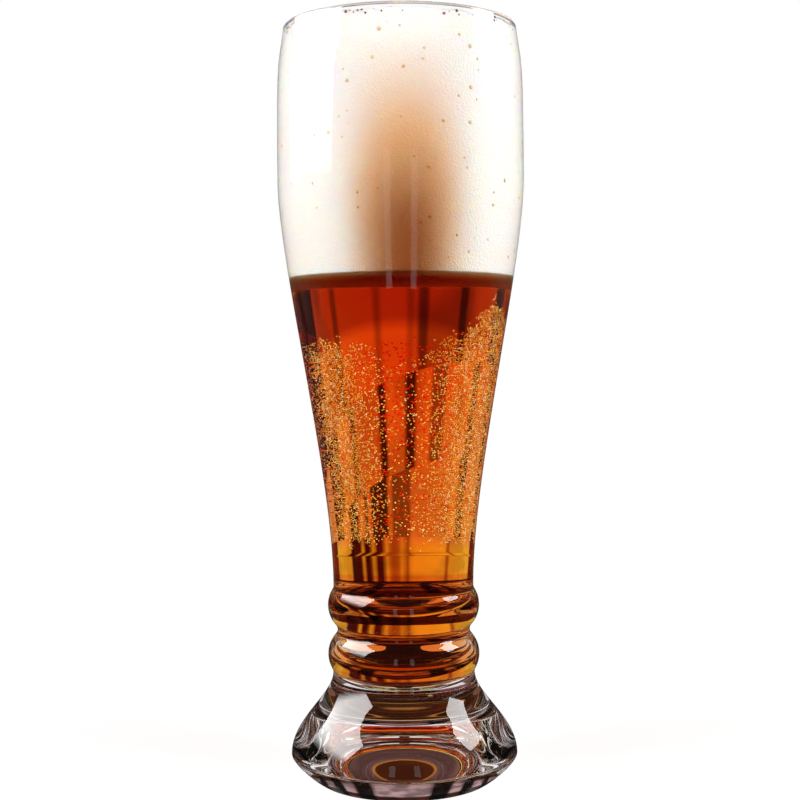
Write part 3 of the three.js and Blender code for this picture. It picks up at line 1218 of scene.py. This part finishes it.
for side, aside in (("left", -SIDE_LAMP_ASIDE), ("right", SIDE_LAMP_ASIDE)):
    place = Vector((aside, -SIDE_LAMP_FORWARD, SIDE_LAMP_HEIGHT))
    soft_lamp(side + "_lamp", place, SIDE_LAMP_SIZE, SIDE_LAMP_WATTS)
soft_lamp("back_lamp", BACK_LAMP_PLACE, BACK_LAMP_SIZE, BACK_LAMP_WATTS)
soft_lamp("top_lamp", TOP_LAMP_PLACE, TOP_LAMP_SIZE, TOP_LAMP_WATTS)
corners = [(-GEL_HALF_WIDTH, GEL_PLACE, GEL_BOTTOM), (GEL_HALF_WIDTH, GEL_PLACE, GEL_BOTTOM)]
corners += [(GEL_HALF_WIDTH, GEL_PLACE, GEL_TOP), (-GEL_HALF_WIDTH, GEL_PLACE, GEL_TOP)]
stage_piece("gel", corners, [(0, 1, 2, 3)], amber_gel(), ("shadow",))

# Bright cards that show only where the outside of the glass mirrors them. A card can fade out
# downwards, so that its lower edge leaves no line on the bowl.
CARD_FADE = 0.17
CARD_DIM = 0.08
LEFT_CARD_PLACE = Vector((-0.67, 0.02, 0.49))
LEFT_CARD_SIZE = (0.81, 0.50)
LEFT_CARD_STRENGTH = 11
LEFT_CARD_FULL_FROM = 0.44
RIGHT_CARD_PLACE = Vector((0.655, 0.0, 0.55))
RIGHT_CARD_SIZE = (0.34, 0.28)
RIGHT_CARD_STRENGTH = 10
SLIM_CARD_ASIDE = 0.125
SLIM_CARD_FORWARD = 0.587
SLIM_CARD_HEIGHT = 0.145
SLIM_CARD_SIZE = (0.06, 0.28)
SLIM_CARD_STRENGTH = 0.9


def mirrored_card(name, place, size, strength, full_from=0.0):
    """A card that faces the glass, at full strength from a height upwards."""
    material, nodes = new_finish(name)
    spot = nodes.add("ShaderNodeTexCoord", {}, {}, "Object")
    level = nodes.add("ShaderNodeSeparateXYZ", {}, {"Vector": spot}, "Z")
    span = {"Value": level, "From Min": full_from - CARD_FADE, "From Max": full_from, "To Min": CARD_DIM}
    shade = nodes.add("ShaderNodeMapRange", {"interpolation_type": "SMOOTHSTEP"}, span)
    clear = nodes.add("ShaderNodeBsdfTransparent", {}, {"Color": WHITE})
    glow = nodes.add("ShaderNodeEmission", {}, {"Color": shade, "Strength": strength})
    mirrored = ray_kinds(nodes)[1]
    card = nodes.add("ShaderNodeMixShader", {}, {"Fac": mirrored, 1: clear, 2: glow})
    nodes.add("ShaderNodeOutputMaterial", {}, {"Surface": card})
    turn = (AIM - place).to_track_quat("-Z", "Y").to_matrix()
    width, height = size
    corners = [(-width, -height), (width, -height), (width, height), (-width, height)]
    vertices = [tuple(place + turn @ Vector((x / 2, y / 2, 0))) for x, y in corners]
    stage_piece(name, vertices, [(0, 1, 2, 3)], material, ("glossy",))


mirrored_card("left_card", LEFT_CARD_PLACE, LEFT_CARD_SIZE, LEFT_CARD_STRENGTH, LEFT_CARD_FULL_FROM)
mirrored_card("right_card", RIGHT_CARD_PLACE, RIGHT_CARD_SIZE, RIGHT_CARD_STRENGTH)
for side, aside in (("left", -SLIM_CARD_ASIDE), ("right", SLIM_CARD_ASIDE)):
    place = Vector((aside, -SLIM_CARD_FORWARD, SLIM_CARD_HEIGHT))
    mirrored_card(side + "_strip", place, SLIM_CARD_SIZE, SLIM_CARD_STRENGTH)

# The surround is white where it is seen straight or through the glass, dim where a surface mirrors
# it, and a faint warm fill for everything else.
world = bpy.data.worlds.new("studio")
bpy.context.scene.world = world
world.use_nodes = True
surround = Nodes(world.node_tree)
seen, mirrored = ray_kinds(surround)
shown = surround.add(
    "ShaderNodeMix",
    {"data_type": "RGBA"},
    {"Factor_Float": seen + mirrored * MIRRORED, "A_Color": FILL, "B_Color": WHITE},
    "Result_Color",
)
background = surround.add("ShaderNodeBackground", {}, {"Color": shown, "Strength": 1.0})
surround.add("ShaderNodeOutputWorld", {}, {"Surface": background})

# Light goes through many walls of glass, beer and bubbles before it reaches a screen.
THROUGH_BOUNCES = 32
MIRROR_BOUNCES = 12
scene = bpy.context.scene
scene.view_settings.view_transform = "Standard"
scene.cycles.max_bounces = THROUGH_BOUNCES
scene.cycles.transmission_bounces = THROUGH_BOUNCES
scene.cycles.glossy_bounces = MIRROR_BOUNCES
scene.cycles.transparent_max_bounces = THROUGH_BOUNCES
scene.cycles.caustics_refractive = False
scene.cycles.caustics_reflective = False
